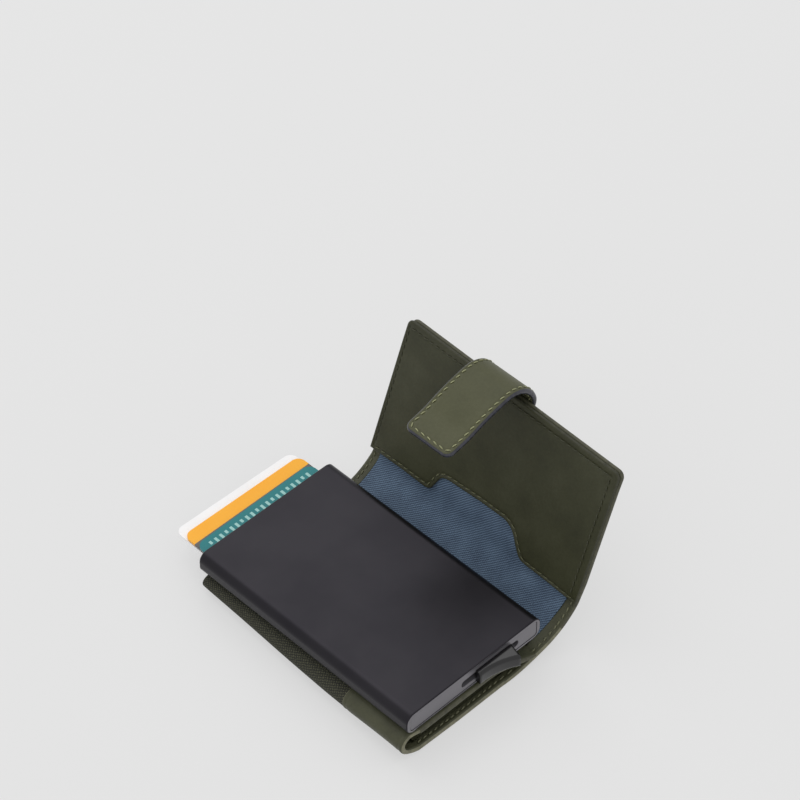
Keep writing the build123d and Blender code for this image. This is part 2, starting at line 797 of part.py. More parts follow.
def make_strap_magnet():
    """Magnet between the two layers of the strap's tip"""
    start, end = tuck_fold, strap_nodes[-1]
    length = math.dist(start, end)
    last_share = 1 - magnet_end_inset / length
    nodes = [blend(start, end, last_share - magnet_width / length), blend(start, end, last_share)]
    y_low = strap_offset - magnet_length / 2
    course = straight_course(nodes, (0,))
    return sheet(course, (0, 1), y_low, y_low + magnet_length, strap_face - magnet_thickness, strap_face)


def make_bond_pad():
    half = case_length / 2 - pad_inset
    return block(pocket_side + pad_side_in, pocket_flat_end - pad_side_in, -half, half, -pad_thickness, 0)


base_magnet = make_base_magnet()
strap_magnet = make_strap_magnet()
pieces = {
    "case_tube": make_case_tube(),
    "end_plate": make_end_plate(),
    "lever_chassis": make_chassis(),
    "lever_pin": make_lever_pin(),
    "ejector_lever": make_lever(),
    "trigger_slider": make_trigger(),
    "card_grip_left": make_card_grip(-1),
    "card_grip_right": make_card_grip(1),
    "case_bond_pad": make_bond_pad(),
    "pocket_carrier_leather": make_carrier_leather(),
    "pocket_lower_leather": make_pocket_leather(base_magnet),
    "pocket_lining": make_pocket_lining(),
    "pocket_gusset": make_gusset(),
    "pocket_tab": make_gusset_tab(),
    "base_magnet": base_magnet,
    "base_lining": make_base_lining(),
    "spine_leather": make_spine_leather(),
    "spine_lining": make_spine_lining(),
    "flap_leather": make_flap_leather(),
    "flap_board": make_flap_board(),
    "flap_lining": make_flap_lining(),
    "flap_pocket_panel": make_flap_panel(),
    "strap_magnet": strap_magnet,
}
for level, (name, reach, across, turn) in enumerate(cards_shown):
    pieces[name] = make_card(level, reach, across, turn)
pieces.update(make_strap_layers())
pieces["strap_tip_face"] = pieces["strap_tip_face"] - strap_magnet

# Stood on the table: nose down by the tilt, the lower sheet of the pocket flat on it
stand = Pos(0, 0, stand_rise) * Rot(-tilt, 0, 0)

os.makedirs("parts", exist_ok=True)
for name, piece in pieces.items():
    export_step(stand * piece, os.path.join("parts", name + ".step"))
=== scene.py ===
import math
import bpy
import numpy as np
from mathutils import Matrix, Vector


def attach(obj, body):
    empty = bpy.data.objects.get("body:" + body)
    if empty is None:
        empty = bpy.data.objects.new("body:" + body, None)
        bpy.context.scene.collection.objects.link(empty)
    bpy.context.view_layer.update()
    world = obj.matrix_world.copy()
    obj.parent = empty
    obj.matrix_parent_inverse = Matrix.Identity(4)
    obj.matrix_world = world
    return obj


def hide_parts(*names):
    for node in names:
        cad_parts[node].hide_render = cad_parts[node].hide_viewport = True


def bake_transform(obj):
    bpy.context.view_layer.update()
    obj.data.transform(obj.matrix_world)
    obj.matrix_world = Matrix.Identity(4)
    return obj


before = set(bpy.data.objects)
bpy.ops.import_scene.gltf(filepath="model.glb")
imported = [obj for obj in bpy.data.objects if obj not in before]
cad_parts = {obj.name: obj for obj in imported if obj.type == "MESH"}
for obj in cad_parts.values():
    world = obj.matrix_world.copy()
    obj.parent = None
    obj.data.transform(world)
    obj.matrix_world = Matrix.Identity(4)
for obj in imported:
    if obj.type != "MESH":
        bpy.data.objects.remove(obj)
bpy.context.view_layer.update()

# Sheets are laid out in millimetres square to the card case, X across it, Y the way the cards
# come out and Z up from its underside, and then stood on the table with the case's tilt.
TILT = math.radians(3.4)
STAND = 9.84  # from the table to the case's underside, along the case's own Z
TABLE_SLOPE = math.tan(TILT)
NEAR, FAR = -51.5, 51.5  # Y of the two sections that a course is ruled between
FAR_EDGE = 48.2  # Y where the leather ends
STEP = 0.25  # from point to point along a section
FADE = 42.0  # length over which a lifted section fades out
EDGE_TICKS = (0.05, 0.16, 0.34, 0.62, 1.0)
LEAST_TICK = 0.045
GROOVE_WIDE = 0.42
WAVE_IN = 4.0  # unevenness has its full size this far inside a rim
RIM_SLOT, THREAD_SLOT = 2, 3


def turned(points):
    """Points or directions of the case's frame, turned level with the table"""
    x, y, z = np.moveaxis(np.asarray(points, float), -1, 0)
    c, s = math.cos(TILT), math.sin(TILT)
    return np.stack([x, y * c + z * s, z * c - y * s], -1)


def place(points):
    """Points in the case's frame, in millimetres, as points of the final frame in metres"""
    return (turned(points) + (0, 0, STAND * math.cos(TILT))) / 1000


# ---------------------------------------- courses and sheets

def smooth(share):
    """A share from 0 to 1 with a soft start and a soft end"""
    t = np.clip(share, 0, 1)
    return t * t * (3 - 2 * t)


def run_of(line):
    """Distance run along a line up to each of its points"""
    return np.concatenate([[0], np.cumsum(np.hypot(*np.diff(line, axis=0).T))])


def arc(start, end, bulge, count):
    """Points of an arc but for its last one. Its height over the chord, to the left, is the
    bulge as a share of the chord"""
    start, end = np.array(start, float), np.array(end, float)
    t = np.linspace(0, 1, count, endpoint=False)
    chord = end - start
    if abs(bulge) < 1e-6:
        return start + t[:, None] * chord
    half = 2 * math.atan(2 * bulge)
    first = math.atan2(chord[1], chord[0]) + half
    radius = np.hypot(*chord) / (2 * math.sin(half))
    phi = first - 2 * half * t
    moved = [math.sin(first) - np.sin(phi), np.cos(phi) - math.cos(first)]
    return start + radius * np.stack(moved, -1)


def smoothed(points, count, step, width):
    """Points a step apart, evened out over a width by as many neighbours on each side"""
    weights = np.exp(-0.5 * (np.arange(-count, count + 1) * step / width) ** 2)
    weights /= weights.sum()
    return np.stack([np.convolve(points[:, k], weights, "valid") for k in (0, 1)], -1)


def softened(points, width):
    """A section with its corners eased over a width, and its two ends kept"""
    n = int(4 * width / STEP)
    head = 2 * points[0] - points[n:0:-1]
    tail = 2 * points[-1] - points[-2:-n - 2:-1]
    return smoothed(np.concatenate([head, points, tail]), n, STEP, width)


class Course:
    """A surface ruled from its section at the near end to its section at the far end.
    The lifted section is the shape that it takes right at the near end"""

    def __init__(self, near, far, ease=1.5, lifted=None):
        self.near, self.far = softened(near, ease), softened(far, ease)
        self.lifted = self.near if lifted is None else softened(lifted, ease)
        self.arc = run_of((self.near + self.far) / 2)
        self.length = self.arc[-1]
        self.directions = []
        for line in (self.near, self.far, self.lifted):
            along = np.gradient(line, self.arc, axis=0)
            self.directions.append(along / np.hypot(*along.T)[:, None])

    @classmethod
    def through(cls, near, far, near_bulges, far_bulges, ease=1.5, lifted=None):
        """A course with arcs from node to node, and marks that say where its nodes are"""
        sections = ((near, near_bulges), (far, far_bulges), (lifted or near, near_bulges))
        lines, marks = ([], [], []), [0]
        for k in range(len(near) - 1):
            longest = max(math.dist(near[k], near[k + 1]), math.dist(far[k], far[k + 1]))
            count = max(2, round(longest / STEP))
            for line, (nodes, bulges) in zip(lines, sections):
                line.append(arc(nodes[k], nodes[k + 1], bulges[k], count))
            marks.append(marks[-1] + count)
        near, far, lifted = [np.vstack([*line, [nodes[-1]]])
                             for line, (nodes, _) in zip(lines, sections)]
        made = cls(near, far, ease, lifted)
        made.marks = made.arc[marks]
        return made

    def at(self, s, y, offset):
        """Points at places along the course and along Y, moved to the course's left"""
        s, y, offset = np.broadcast_arrays(s, y, offset)
        share = (y - NEAR) / (FAR - NEAR)
        up = 1 - smooth((y - NEAR) / FADE)
        shares = (1 - share - up, share, up)

        def pick(lines):
            return [sum(np.interp(s, self.arc, line[:, k]) * part
                        for line, part in zip(lines, shares)) for k in (0, 1)]
        x, z = pick((self.near, self.far, self.lifted))
        way = pick(self.directions)
        size = np.hypot(*way)
        return np.stack([x - way[1] / size * offset, y, z + way[0] / size * offset], -1)


def ticks(low, high, step, *fine, spread=(0.25, 0.55, 1.1)):
    """Places from low to high, closer together at both ends and round each fine place"""
    marks = {low, high, *np.linspace(low, high, max(2, round((high - low) / step) + 1))}
    for edge, sign in ((low, 1), (high, -1)):
        marks |= {edge + sign * d for d in EDGE_TICKS}
    for spot in fine:
        marks |= {spot, *(spot + sign * d for d in spread for sign in (-1, 1))}
    chosen = []
    for mark in sorted(m for m in marks if low <= m <= high):
        if not chosen or mark - chosen[-1] > LEAST_TICK:
            chosen.append(mark)
    chosen[-1] = high
    return np.array(chosen)


def distance_to(line, s, y):
    """Distance of each place from a run of straight pieces in the sheet's own plane"""
    line = np.asarray(line, float)
    spots = np.stack([s.ravel(), y.ravel()], -1)
    best = np.full(len(spots), 1e9)
    for a, b in zip(line, line[1:]):
        along = b - a
        t = np.clip(((spots - a) @ along) / max(along @ along, 1e-12), 0, 1)
        best = np.minimum(best, np.hypot(*(spots - a - t[:, None] * along).T))
    return best.reshape(s.shape)


def round_ends(s, y, length, low, high, radius):
    """Rounds the two corners at the end of a sheet's outline by drawing its rows in"""
    middle, half = (low + high) / 2, (high - low) / 2
    into = np.clip(radius - (length - s), 0, radius)
    inset = radius - np.sqrt(radius ** 2 - into ** 2)
    return s, middle + (y - middle) * (half - inset) / half


def stitch_row(course, line, level, side, pitch, length, width, slant=9):
    """Raised slanted stitches along a line of a sheet: their vertices, faces and places"""
    line = np.asarray(line, float)
    run = run_of(line)
    count = max(1, int((run[-1] - length) / pitch + 1))
    spare = run[-1] - (count - 1) * pitch
    rings, sides, reach = 7, 6, 0.4
    # A stitch is highest and widest in its middle and dives into the sheet at both ends
    t = np.linspace(-1, 1, rings)
    rise = 0.2 * (1 - t ** 4) - 0.1
    wide = width / 2 * np.sqrt(np.maximum(1 - 0.92 * t ** 4, 0.02))

    def on_line(distance):
        return np.array([np.interp(distance, run, line[:, k]) for k in (0, 1)])
    verts, faces, places = [], [], []
    for centre in spare / 2 + np.arange(count) * pitch:
        spot = on_line(centre)
        way = on_line(min(centre + reach, run[-1])) - on_line(max(centre - reach, 0))
        angle = math.atan2(way[1], way[0]) + math.radians(slant)
        along = np.array([math.cos(angle), math.sin(angle)])
        across = np.array([-along[1], along[0]])
        surface = level(*spot)
        first = len(verts)
        for k in range(rings):
            mid = spot + along * t[k] * length / 2
            for j in range(sides):
                turn = 2 * math.pi * j / sides
                s, y = mid + across * wide[k] * math.cos(turn)
                raised = surface + side * (rise[k] + wide[k] * 0.7 * math.sin(turn))
                verts.append(course.at(s, y, raised))
                places.append((s, y))
        for k in range(rings - 1):
            for j in range(sides):
                a, b = first + k * sides + j, first + k * sides + (j + 1) % sides
                faces.append((a, b, b + sides, a + sides))
        last = len(verts) - sides
        faces += [tuple(range(first, first + sides)), tuple(range(last, last + sides))]
    return verts, faces, places


def linked(name, data):
    obj = bpy.data.objects.new(name, data)
    bpy.context.scene.collection.objects.link(obj)
    return obj


def link_mesh(name, verts, faces, slots, places, materials):
    """A smooth mesh object with its places on the sheet as its UV map, in millimetres"""
    mesh = bpy.data.meshes.new(name)
    mesh.from_pydata([tuple(v) for v in verts], [], [tuple(int(i) for i in f) for f in faces])
    layer = mesh.uv_layers.new(name="UVMap")
    corner = np.zeros(len(mesh.loops), int)
    mesh.loops.foreach_get("vertex_index", corner)
    layer.data.foreach_set("uv", np.asarray(places, np.float32)[corner].ravel())
    mesh.polygons.foreach_set("material_index", np.asarray(slots, np.int32))
    mesh.polygons.foreach_set("use_smooth", np.ones(len(mesh.polygons), bool))
    for material in materials:
        mesh.materials.append(material)
    mesh.update()
    return linked(name, mesh)


def sheet_piece(name, course, s_lines, y_lines, low, high, materials, closed="senf", shape=None,
                grooves=(), stitches=(), wave=None, edge=0.3, groove=0.16, rim=np.inf):
    """A sheet of leather or cloth along a course, with rounded rims, sewn grooves and stitches.
    low and high: its outer and inner side as offsets, numbers or functions of (s, y)
    materials: inner side, outer side, rim, thread and, for some, a second thread
    closed: which of start, end, near and far have a round rim; the others are cut flat
    grooves: (side, line of (s, y)). stitches: the same with a style, a slot in it if not thread
    edge: width of the rim's material. groove: its depth. rim: the largest radius of a rim"""
    s, y = np.meshgrid(s_lines, y_lines, indexing="ij")
    if shape:
        s, y = shape(s, y)
    low_at = low(s, y) if callable(low) else np.full_like(s, low)
    high_at = high(s, y) if callable(high) else np.full_like(s, high)
    places = np.stack([s.ravel(), y.ravel()], -1)
    number = np.arange(s.size).reshape(s.shape)
    border = {"s": number[0], "e": number[-1][::-1], "n": number[::-1, 0], "f": number[:, -1]}
    inside = np.full_like(s, 1e3)
    for key in closed:
        inside = np.minimum(inside, distance_to(places[border[key]], s, y))
    thick = high_at - low_at
    share = 1 - np.minimum(inside / np.minimum(thick / 2, rim), 1)
    half = thick / 2 * np.sqrt(np.maximum(1 - share ** 2, 0))
    middle = (high_at + low_at) / 2
    if wave:
        middle = middle + wave(s, y) * np.minimum(inside / WAVE_IN, 1)
    dents = {1: np.zeros_like(s), -1: np.zeros_like(s)}
    for side, line in grooves:
        dents[side] += groove * np.exp(-(distance_to(line, s, y) / GROOVE_WIDE) ** 2)
    top = course.at(s, y, middle + half - dents[1])
    bottom = course.at(s, y, middle - half + dents[-1])
    # Both sides share their vertices along a round rim
    twin = np.where(inside < 1e-6, number, number + s.size)

    def corners(grid):
        each = [grid[:-1, :-1], grid[1:, :-1], grid[1:, 1:], grid[:-1, 1:]]
        return np.stack(each, -1).reshape(-1, 4)
    faces = [*corners(number), *corners(twin)[:, ::-1]]
    rims = corners(inside).mean(1) < edge
    slots = [*np.where(rims, RIM_SLOT, 0), *np.where(rims, RIM_SLOT, 1)]
    # Ends that meet the next part of the same sheet are closed flat
    flat = len(faces)
    for key in "senf":
        if key not in closed:
            a, b = border[key], twin.ravel()[border[key]]
            caps = [tuple(dict.fromkeys(cap)) for cap in zip(a, a[1:], b[1:], b)]
            caps = [cap for cap in caps if len(cap) > 2]
            faces += caps
            slots += [RIM_SLOT] * len(caps)
    capped = range(flat, len(faces))
    verts = [*top.reshape(-1, 3), *bottom.reshape(-1, 3)]
    places = [*places, *places]
    for side, line, style in stitches:
        style = dict(style)
        slot = style.pop("slot", THREAD_SLOT)
        face = high if side > 0 else low

        def level(s, y):
            return float(face(np.array([[s]]), np.array([[y]]))[0, 0]) if callable(face) else face
        sewn_verts, sewn_faces, sewn_places = stitch_row(course, line, level, side, **style)
        faces += [tuple(i + len(verts) for i in f) for f in sewn_faces]
        slots += [slot] * len(sewn_faces)
        verts += sewn_verts
        places += sewn_places
    # Vertices that no face uses any more are dropped
    used = np.zeros(len(verts), bool)
    for f in faces:
        used[list(f)] = True
    moved = np.cumsum(used) - 1
    verts = place(np.array(verts)[used])
    places = np.array(places)[used]
    faces = [tuple(moved[i] for i in f) for f in faces]
    obj = link_mesh(name, verts, faces, slots, places, materials)
    for k in capped:
        obj.data.polygons[k].use_smooth = False
    return obj


# ---------------------------------------- materials

def nodes_of(name, source="UV"):
    """A new material with its tree, its shader and its places: UV on a sheet, in millimetres,
    or Object in the body's own frame, in metres"""
    material = bpy.data.materials.new(name)
    material.use_nodes = True
    tree = material.node_tree
    places = tree.nodes.new("ShaderNodeTexCoord").outputs[source]
    return material, tree, tree.nodes["Principled BSDF"], places


def node(tree, kind, inputs=(), **settings):
    made = tree.nodes.new(kind)
    for key, value in settings.items():
        setattr(made, key, value)
    for key, value in dict(inputs).items():
        if hasattr(value, "is_output"):
            tree.links.new(value, made.inputs[key])
        else:
            made.inputs[key].default_value = value
    return made


def maths(tree, operation, a, b=0.0):
    return node(tree, "ShaderNodeMath", {0: a, 1: b}, operation=operation).outputs[0]


def ramp(tree, factor, *stops):
    made = node(tree, "ShaderNodeValToRGB", {"Fac": factor})
    band = made.color_ramp
    while len(band.elements) < len(stops):
        band.elements.new(0.5)
    for element, (position, colour) in zip(band.elements, stops):
        element.position = position
        element.color = (*colour, 1)
    return made.outputs["Color"]


def rgb(r, g, b):
    """A screen colour of 0 to 255 as a linear colour"""
    found = []
    for value in (r, g, b):
        v = value / 255
        found.append(v / 12.92 if v <= 0.04045 else ((v + 0.055) / 1.055) ** 2.4)
    return tuple(found)


def times(tree, value, *factors):
    for factor in factors:
        value = maths(tree, "MULTIPLY", value, factor)
    return value


def total(tree, a, share_a, b, share_b):
    """Two values added up, each times its share"""
    return maths(tree, "ADD", times(tree, a, share_a), times(tree, b, share_b))


def noise(tree, source, scale, detail, rough=0.5, output="Fac"):
    inputs = {"Vector": source, "Scale": scale, "Detail": detail, "Roughness": rough}
    return node(tree, "ShaderNodeTexNoise", inputs).outputs[output]


def bands(tree, source, turn, scale, **inputs):
    """Straight bands across the direction that the turn gives"""
    mapped = node(tree, "ShaderNodeMapping", {"Vector": source, "Rotation": (0, 0, turn)})
    inputs = {"Vector": mapped.outputs["Vector"], "Scale": scale, **inputs}
    return node(tree, "ShaderNodeTexWave", inputs, bands_direction="X").outputs["Fac"]


def shaken(tree, source, scale, amount):
    """Places moved a little by noise, so that threads don't run quite straight"""
    jitter = noise(tree, source, scale, 3.0, output="Color")
    moves = node(tree, "ShaderNodeVectorMath", {0: jitter, 1: (amount, amount, 0)},
                 operation="MULTIPLY")
    moved = node(tree, "ShaderNodeVectorMath", {0: source, 1: moves.outputs[0]}, operation="ADD")
    return moved.outputs[0]


def dress(tree, shader, colour, height, strength, distance, **constants):
    """Links a colour and a bump to the shader and sets constants on its own sockets"""
    inputs = {"Height": height, "Strength": strength, "Distance": distance}
    bump = node(tree, "ShaderNodeBump", inputs)
    tree.links.new(colour, shader.inputs["Base Color"])
    tree.links.new(bump.outputs[0], shader.inputs["Normal"])
    for key, value in constants.items():
        shader.inputs[key.replace("_", " ")].default_value = value
    return bump


def gloss(tree, shader, value, low, high):
    """Roughness that varies with a value of 0 to 1"""
    found = node(tree, "ShaderNodeMapRange", {"Value": value, "To Min": low, "To Max": high})
    tree.links.new(found.outputs[0], shader.inputs["Roughness"])


def leather(name, dark, mid, light, rough, grain=0.55, depth=0.35):
    """Smooth calf leather: soft clouds of colour, fine pores and a pebbled grain"""
    material, tree, shader, source = nodes_of(name)
    clouds = noise(tree, source, 0.06, 4.0, 0.6)
    mottle = noise(tree, source, 0.9, 3.0, 0.7)
    pores = noise(tree, source, 3.4, 3.0, 0.65)
    cells = node(tree, "ShaderNodeTexVoronoi", {"Vector": source, "Scale": 1 / grain},
                 feature="DISTANCE_TO_EDGE").outputs["Distance"]
    pebble = node(tree, "ShaderNodeMapRange", {"Value": cells, "From Max": 0.28}).outputs[0]
    factor = total(tree, clouds, 0.7, mottle, 0.3)
    dress(tree, shader, ramp(tree, factor, (0.32, dark), (0.5, mid), (0.7, light)),
          total(tree, pebble, 0.6, pores, 0.55), depth, 0.00006, Specular_IOR_Level=0.32)
    gloss(tree, shader, mottle, rough + 0.07, rough - 0.06)
    return material


def edge_paint(name, dark, light, rough):
    """Painted or burnished cut edge of leather, a little uneven along its length"""
    material, tree, shader, source = nodes_of(name)
    streaks = noise(tree, source, 0.5, 4.0, 0.7)
    dress(tree, shader, ramp(tree, streaks, (0.35, dark), (0.65, light)), streaks, 0.3, 0.0001,
          Roughness=rough)
    return material


def thread(name, colour, shade):
    """Twisted sewing thread"""
    material, tree, shader, source = nodes_of(name)
    twist = bands(tree, source, 0.9, 1.3, Distortion=0.6, Detail=1.0)
    dress(tree, shader, ramp(tree, twist, (0.2, shade), (0.8, colour)), twist, 0.4, 0.0001,
          Roughness=0.6)
    return material


ONE_TO_THE_MM = 2 * math.pi / 20  # scale at which a wave texture has one band to the millimetre


def twill(name, dark, light, pitch=0.8, turn=math.radians(-45)):
    """Twill cloth: raised diagonal ribs crossed by finer threads"""
    material, tree, shader, source = nodes_of(name)
    places = shaken(tree, source, 0.8, 0.38)
    ribs = bands(tree, places, turn, ONE_TO_THE_MM / pitch)
    yarns = bands(tree, places, turn + 1.25, ONE_TO_THE_MM / (pitch * 0.8))
    clouds = maths(tree, "SUBTRACT", noise(tree, source, 0.12, 3.0), 0.5)
    height = maths(tree, "ADD", ribs, times(tree, yarns, 0.35))
    factor = total(tree, height, 0.5, clouds, 0.5)
    dress(tree, shader, ramp(tree, factor, (0.1, dark), (0.75, light)), height, 0.6, 0.00012,
          Roughness=0.75, Sheen_Weight=0.25, Sheen_Roughness=0.4)
    return material


def canvas(name, dark, light, pitch, turn=0.5):
    """Coarse plain weave"""
    material, tree, shader, source = nodes_of(name)
    places = shaken(tree, source, 1.0, 0.95)
    warp, weft = [bands(tree, places, way, ONE_TO_THE_MM / pitch)
                  for way in (turn, turn + math.pi / 2)]
    height = times(tree, warp, weft)
    dress(tree, shader, ramp(tree, height, (0.05, dark), (0.6, light)), height, 0.9, 0.0002,
          Roughness=0.85)
    return material


def moulded(name, dark, light, rough, metallic=0.0, scale=900.0, depth=0.12, level=0.5,
            fine=0.00003, eased=0.0):
    """Fine-textured metal or plastic with slight clouds in colour and gloss. Its corners look
    rounded where a radius to ease them by is given"""
    material, tree, shader, source = nodes_of(name, "Object")
    blast = noise(tree, source, scale, 2.0)
    clouds = noise(tree, source, 45.0, 3.0)
    bump = dress(tree, shader, ramp(tree, clouds, (0.35, dark), (0.65, light)), blast, depth, fine,
                 Metallic=metallic, Specular_IOR_Level=level)
    gloss(tree, shader, clouds, rough - 0.03, rough + 0.03)
    if eased:
        corners = node(tree, "ShaderNodeBevel", {"Radius": eased}, samples=12)
        tree.links.new(corners.outputs[0], bump.inputs["Normal"])
    return material


def card_print(name, paint):
    """Laminated card: a soft sheen over a printed colour"""
    material, tree, shader, source = nodes_of(name, "Object")
    axes = node(tree, "ShaderNodeSeparateXYZ", {"Vector": source}).outputs
    blast = noise(tree, source, 1400.0, 1.0)
    clouds = noise(tree, source, 60.0, 2.0)
    dress(tree, shader, paint(tree, axes, clouds), blast, 0.05, 0.00002,
          Roughness=0.38, Specular_IOR_Level=0.3)
    return material


def between(tree, value, low, high):
    over = maths(tree, "GREATER_THAN", value, low)
    return times(tree, over, maths(tree, "LESS_THAN", value, high))


def mixed(tree, factor, a, b):
    made = node(tree, "ShaderNodeMix", {"Factor": factor}, data_type="RGBA")
    for key, value in (("A", a), ("B", b)):
        socket = [i for i in made.inputs if i.name == key and i.type == "RGBA"][0]
        if hasattr(value, "is_output"):
            tree.links.new(value, socket)
        else:
            socket.default_value = (*value, 1)
    return [o for o in made.outputs if o.type == "RGBA"][0]


# Colour fields and marks on the cards are placed by how far they are beyond the case's mouth, in
# metres
MOUTH = 0.0503 * math.cos(TILT)
ORANGE_LINE = 0.00805
BAR_LOW, BAR_HIGH, SHORT_BAR = 0.0022, 0.0046, 0.0009
BAR_PITCH, BARS_REACH = 0.0024, 0.0235


def white_paint(tree, axes, clouds):
    return ramp(tree, clouds, (0.3, rgb(247, 247, 248)), (0.7, rgb(251, 251, 252)))


def orange_paint(tree, axes, clouds):
    """Orange beyond a line, and grey from there to the mouth"""
    field = ramp(tree, clouds, (0.3, rgb(255, 175, 34)), (0.7, rgb(255, 182, 46)))
    beyond = maths(tree, "GREATER_THAN", axes["Y"], MOUTH + ORANGE_LINE)
    return mixed(tree, beyond, rgb(102, 98, 95), field)


def teal_paint(tree, axes, clouds):
    """Teal with one row of plain pale bars, two long and one short by turns"""
    field = ramp(tree, clouds, (0.3, rgb(20, 118, 123)), (0.7, rgb(30, 127, 131)))
    pace, group = [maths(tree, "FRACT", times(tree, axes["X"], 1 / length))
                   for length in (BAR_PITCH, 3 * BAR_PITCH)]
    short = maths(tree, "GREATER_THAN", group, 2 / 3)
    low = maths(tree, "ADD", MOUTH + BAR_LOW, times(tree, short, SHORT_BAR))
    tall = between(tree, axes["Y"], low, MOUTH + BAR_HIGH)
    inside = between(tree, axes["X"], -BARS_REACH, BARS_REACH)
    pale = times(tree, tall, between(tree, pace, 0.28, 0.72), inside, 0.85)
    return mixed(tree, pale, field, rgb(172, 219, 214))


def paint_cut_highlight(material, colour):
    """Gives faces that look straight at the near end another colour, a painted highlight"""
    tree = material.node_tree
    base = tree.nodes["Principled BSDF"].inputs["Base Color"]
    normal = tree.nodes.new("ShaderNodeTexCoord").outputs["Normal"]
    facing = node(tree, "ShaderNodeSeparateXYZ", {"Vector": normal}).outputs["Y"]
    cut = maths(tree, "LESS_THAN", facing, -0.9)
    tree.links.new(mixed(tree, cut, base.links[0].from_socket, colour), base)


OLIVE = leather("leather_olive", rgb(62, 63, 46), rgb(73, 74, 55), rgb(82, 83, 62), 0.5)
PANEL = leather("leather_panel", rgb(48, 49, 31), rgb(57, 58, 38), rgb(67, 68, 49), 0.44, 0.5, 0.25)
STRAP = leather("leather_strap", rgb(66, 67, 42), rgb(74, 75, 49), rgb(82, 83, 57), 0.48, 0.5, 0.3)
HEM = edge_paint("leather_edge", rgb(98, 97, 77), rgb(126, 124, 100), 0.5)
TOP_HEM = edge_paint("flap_edge", rgb(62, 62, 47), rgb(84, 83, 64), 0.6)
RIM = edge_paint("panel_edge", rgb(46, 47, 33), rgb(64, 64, 48), 0.72)
NAVY = edge_paint("strap_edge", rgb(40, 41, 48), rgb(60, 60, 71), 0.25)
THREAD_LIGHT = thread("thread_light", rgb(172, 173, 132), rgb(120, 122, 88))
THREAD_OLIVE = thread("thread_olive", rgb(108, 108, 82), rgb(74, 75, 56))
THREAD_HEM = thread("thread_hem", rgb(126, 126, 98), rgb(90, 91, 70))
THREAD_PANEL = thread("thread_panel", rgb(112, 113, 82), rgb(80, 81, 57))
THREAD_FLUSH = thread("thread_flush", rgb(76, 77, 57), rgb(56, 57, 41))
BLUE = twill("cloth_blue", rgb(50, 67, 89), rgb(107, 131, 156))
CANVAS = canvas("canvas_olive", rgb(34, 35, 27), rgb(82, 82, 64), 0.85)
ANODISED = moulded("anodised", (0.025, 0.0235, 0.028), (0.031, 0.0292, 0.034), 0.36, 0.92,
                   depth=0.05, eased=0.0003)
# The tube's cut end by the trigger is painted as bright as the plate in it, a painted highlight
# along the cut rim
PLATE_LIGHT = rgb(124, 122, 127)
paint_cut_highlight(ANODISED, PLATE_LIGHT)
PLATE = moulded("plate", rgb(116, 114, 119), PLATE_LIGHT, 0.48, 0.35, scale=1600.0, eased=0.0002)
TRIGGER = moulded("trigger", rgb(17, 16, 17), rgb(22, 21, 22), 0.15, depth=0.004, eased=0.001)
# Near black: black plastic, made darker still as painted shade for the slot that it shows through
INNER = moulded("inner_plastic", rgb(13, 13, 14), rgb(18, 18, 19), 0.5, level=0.3)
STEEL = moulded("steel", rgb(150, 150, 152), rgb(168, 168, 170), 0.32, 1.0)
MAGNET = moulded("magnet", rgb(140, 140, 142), rgb(160, 160, 164), 0.3, 1.0)
FELT = moulded("felt", rgb(22, 22, 23), rgb(44, 44, 45), 0.95, scale=1800.0, depth=0.9, fine=0.0002)
ADHESIVE = moulded("adhesive", rgb(60, 60, 58), rgb(74, 74, 70), 0.6)
BOARD = moulded("board", rgb(150, 132, 102), rgb(172, 154, 122), 0.85, scale=700.0, depth=0.4)
CARD_WHITE = card_print("card_white_print", white_paint)
CARD_ORANGE = card_print("card_orange_print", orange_paint)
CARD_TEAL = card_print("card_teal_print", teal_paint)

RIGID = {
    "case_tube": ANODISED, "end_plate": PLATE, "trigger_slider": TRIGGER, "ejector_lever": INNER,
    "lever_chassis": INNER, "lever_pin": STEEL, "card_grip_left": FELT, "card_grip_right": FELT,
    "case_bond_pad": ADHESIVE, "base_magnet": MAGNET, "strap_magnet": MAGNET, "flap_board": BOARD,
    "card_white": CARD_WHITE, "card_orange": CARD_ORANGE, "card_teal": CARD_TEAL,
}
for name, material in RIGID.items():
    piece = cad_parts[name]
    if not piece.material_slots:
        piece.data.materials.append(material)
    for slot in piece.material_slots:
        slot.material = material

# The trigger is a moulding: its corners are rounded where the solid has sharp ones
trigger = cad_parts["trigger_slider"]
joined = trigger.modifiers.new("joined", "WELD")
joined.merge_threshold = 0.000002
rounded = trigger.modifiers.new("rounded", "BEVEL")
rounded.width, rounded.segments = 0.0006, 3
rounded.limit_method, rounded.angle_limit = "ANGLE", math.radians(30)

# ---------------------------------------- the wallet's courses

LEATHER, CLOTH, GLUE, BOARD_THICK, STRAP_THICK = 1.3, 0.6, 0.05, 0.6, 2.2
SIDE, JOIN, SPINE = -26.0, 29.0, 31.0  # X of the pocket's left side, its right seam, the spine
TOP = -0.2  # Z of the pocket's leather under the case
RISE = 0.7  # how far the lower leather's near left corner is lifted
LOW_NEAR = -STAND + TABLE_SLOPE * NEAR
LOW_FAR = -STAND + TABLE_SLOPE * FAR
JOIN_NEAR, JOIN_FAR = (JOIN, LOW_NEAR + 2.9), (JOIN, LOW_FAR + 0.15)
HINGE_NEAR, HINGE_FAR = (50.15, 2.35), (50.6, 2.3)
SHOULDER_OUT, SHOULDER_DROP = 0.68, 0.22


def lean(start, angle, length):
    """The point at a length from the start, at an angle in degrees over X"""
    angle = math.radians(angle)
    return (start[0] + length * math.cos(angle), start[1] + length * math.sin(angle))


def wallet_section(low, flat_from, flat_to, join, spine_up, hinge, flap_top, lift=0.0):
    """The outer leather: flat on the table, up to the spine and round it, and up the flap"""
    flat = [(SIDE, low + lift), (flat_from, low), (flat_to, low)]
    return [*flat, join, (SPINE, low + spine_up), hinge, flap_top]


